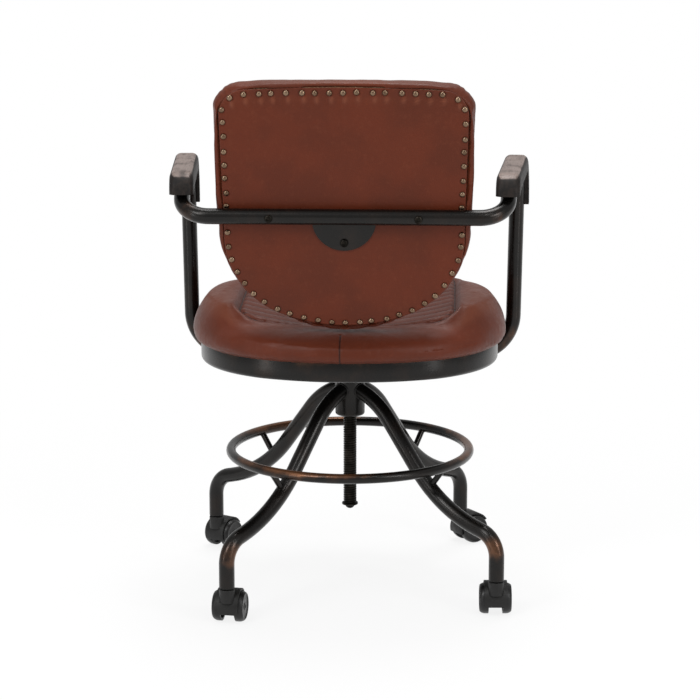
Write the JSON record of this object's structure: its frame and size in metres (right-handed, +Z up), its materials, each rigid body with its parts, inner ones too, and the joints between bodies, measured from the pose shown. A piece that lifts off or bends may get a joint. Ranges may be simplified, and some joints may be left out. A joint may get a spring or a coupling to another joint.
{
  "type": "office chair",
  "caption": "Swivel chair on a screw spindle: upholstered saddle seat, nailed back, bent tube arms with wooden pads, tube legs with a foot ring, and twin wheel castors.",
  "frame": {"origin": "spindle axis on the floor", "axes": "+Z up along the spindle, +Y towards the sitter's front, +X to the sitter's right"},
  "size_m": [0.5914, 0.543, 0.8744],
  "materials": {
    "dark_metal": "dark bronze paint, worn at the bends",
    "screw_steel": "darkened steel",
    "cast_plate": "painted casting",
    "castor_plastic": "black nylon",
    "wheel_plastic": "black, lightly scuffed",
    "board": "plain plywood",
    "leather": "chestnut, waxed and worn",
    "nail_brass": "antique brass",
    "arm_wood": "dark stained, worn on top"
  },
  "bodies": {
    "base": {"base_hub": "dark_metal", "hub_bush": "screw_steel", "foot_ring": "dark_metal", "leg_front_right": "dark_metal", "leg_front_left": "dark_metal", "leg_rear_left": "dark_metal", "leg_rear_right": "dark_metal", "ring_strut_front_right": "dark_metal", "ring_strut_front_left": "dark_metal", "ring_strut_rear_left": "dark_metal", "ring_strut_rear_right": "dark_metal", "castor_socket_front_right": "castor_plastic", "castor_socket_front_left": "castor_plastic", "castor_socket_rear_left": "castor_plastic", "castor_socket_rear_right": "castor_plastic"},
    "lift_washer": {"stop_washer": "screw_steel"},
    "seat": {"lift_screw": "screw_steel", "stop_bolt": "screw_steel", "seat_plate": "cast_plate", "screw_pin": "screw_steel", "plate_bolts": "screw_steel", "arm_frame": "dark_metal", "tube_plugs": "castor_plastic", "frame_straps": "dark_metal", "strap_bolts": "screw_steel", "seat_pan": "dark_metal", "seat_board": "board", "seat_cushion": "leather", "back_board": "board", "back_cushion": "leather", "back_panel": "leather", "back_nails": "nail_brass", "back_plate": "dark_metal", "back_screws": "screw_steel", "arm_pad_left": "arm_wood", "arm_pad_right": "arm_wood", "arm_pad_screws": "screw_steel"},
    "castor_front_right": {"castor_stem_front_right": "screw_steel", "castor_hood_front_right": "castor_plastic", "castor_axle_front_right": "screw_steel"},
    "wheel_left_front_right": {"castor_wheel_left_front_right": "wheel_plastic"},
    "wheel_right_front_right": {"castor_wheel_right_front_right": "wheel_plastic"},
    "castor_front_left": {"castor_stem_front_left": "screw_steel", "castor_hood_front_left": "castor_plastic", "castor_axle_front_left": "screw_steel"},
    "wheel_left_front_left": {"castor_wheel_left_front_left": "wheel_plastic"},
    "wheel_right_front_left": {"castor_wheel_right_front_left": "wheel_plastic"},
    "castor_rear_left": {"castor_stem_rear_left": "screw_steel", "castor_hood_rear_left": "castor_plastic", "castor_axle_rear_left": "screw_steel"},
    "wheel_left_rear_left": {"castor_wheel_left_rear_left": "wheel_plastic"},
    "wheel_right_rear_left": {"castor_wheel_right_rear_left": "wheel_plastic"},
    "castor_rear_right": {"castor_stem_rear_right": "screw_steel", "castor_hood_rear_right": "castor_plastic", "castor_axle_rear_right": "screw_steel"},
    "wheel_left_rear_right": {"castor_wheel_left_rear_right": "wheel_plastic"},
    "wheel_right_rear_right": {"castor_wheel_right_rear_right": "wheel_plastic"}
  },
  "joints": [
    {"name": "screw_lift", "type": "slide", "parent": "base", "child": "lift_washer", "axis": [0, 0, 1], "range_m": [0, 0.1501]},
    {"name": "seat_turn", "type": "hinge", "parent": "lift_washer", "child": "seat", "pos_m": [0, 0, 0.4], "axis": [0, 0, 1], "range_deg": [0, 13500]},
    {"name": "castor_swivel_front_right", "type": "hinge", "parent": "base", "child": "castor_front_right", "pos_m": [0.18543, 0.24341, 0.06], "axis": [0, 0, 1], "continuous": true},
    {"name": "wheel_spin_left_front_right", "type": "hinge", "parent": "castor_front_right", "child": "wheel_left_front_right", "pos_m": [0.2023, 0.25416, 0.025], "axis": [-0.5373, 0.8434, 0], "continuous": true},
    {"name": "wheel_spin_right_front_right", "type": "hinge", "parent": "castor_front_right", "child": "wheel_right_front_right", "pos_m": [0.2023, 0.25416, 0.025], "axis": [-0.5373, 0.8434, 0], "continuous": true},
    {"name": "castor_swivel_front_left", "type": "hinge", "parent": "base", "child": "castor_front_left", "pos_m": [-0.24341, 0.18543, 0.06], "axis": [0, 0, 1], "continuous": true},
    {"name": "wheel_spin_left_front_left", "type": "hinge", "parent": "castor_front_left", "child": "wheel_left_front_left", "pos_m": [-0.23296, 0.20249, 0.025], "axis": [-0.8526, 0.5225, 0], "continuous": true},
    {"name": "wheel_spin_right_front_left", "type": "hinge", "parent": "castor_front_left", "child": "wheel_right_front_left", "pos_m": [-0.23296, 0.20249, 0.025], "axis": [-0.8526, 0.5225, 0], "continuous": true},
    {"name": "castor_swivel_rear_left", "type": "hinge", "parent": "base", "child": "castor_rear_left", "pos_m": [-0.18543, -0.24341, 0.06], "axis": [0, 0, 1], "continuous": true},
    {"name": "wheel_spin_left_rear_left", "type": "hinge", "parent": "castor_rear_left", "child": "wheel_left_rear_left", "pos_m": [-0.18248, -0.22363, 0.025], "axis": [-0.989, 0.1478, 0], "continuous": true},
    {"name": "wheel_spin_right_rear_left", "type": "hinge", "parent": "castor_rear_left", "child": "wheel_right_rear_left", "pos_m": [-0.18248, -0.22363, 0.025], "axis": [-0.989, 0.1478, 0], "continuous": true},
    {"name": "castor_swivel_rear_right", "type": "hinge", "parent": "base", "child": "castor_rear_right", "pos_m": [0.24341, -0.18543, 0.06], "axis": [0, 0, 1], "continuous": true},
    {"name": "wheel_spin_left_rear_right", "type": "hinge", "parent": "castor_rear_right", "child": "wheel_left_rear_right", "pos_m": [0.24254, -0.16545, 0.025], "axis": [-0.999, -0.0436, 0], "continuous": true},
    {"name": "wheel_spin_right_rear_right", "type": "hinge", "parent": "castor_rear_right", "child": "wheel_right_rear_right", "pos_m": [0.24254, -0.16545, 0.025], "axis": [-0.999, -0.0436, 0], "continuous": true}
  ],
  "couplings": [
    {"joint": "screw_lift", "follows": "seat_turn", "m_per_rad": 0.00063662}
  ]
}
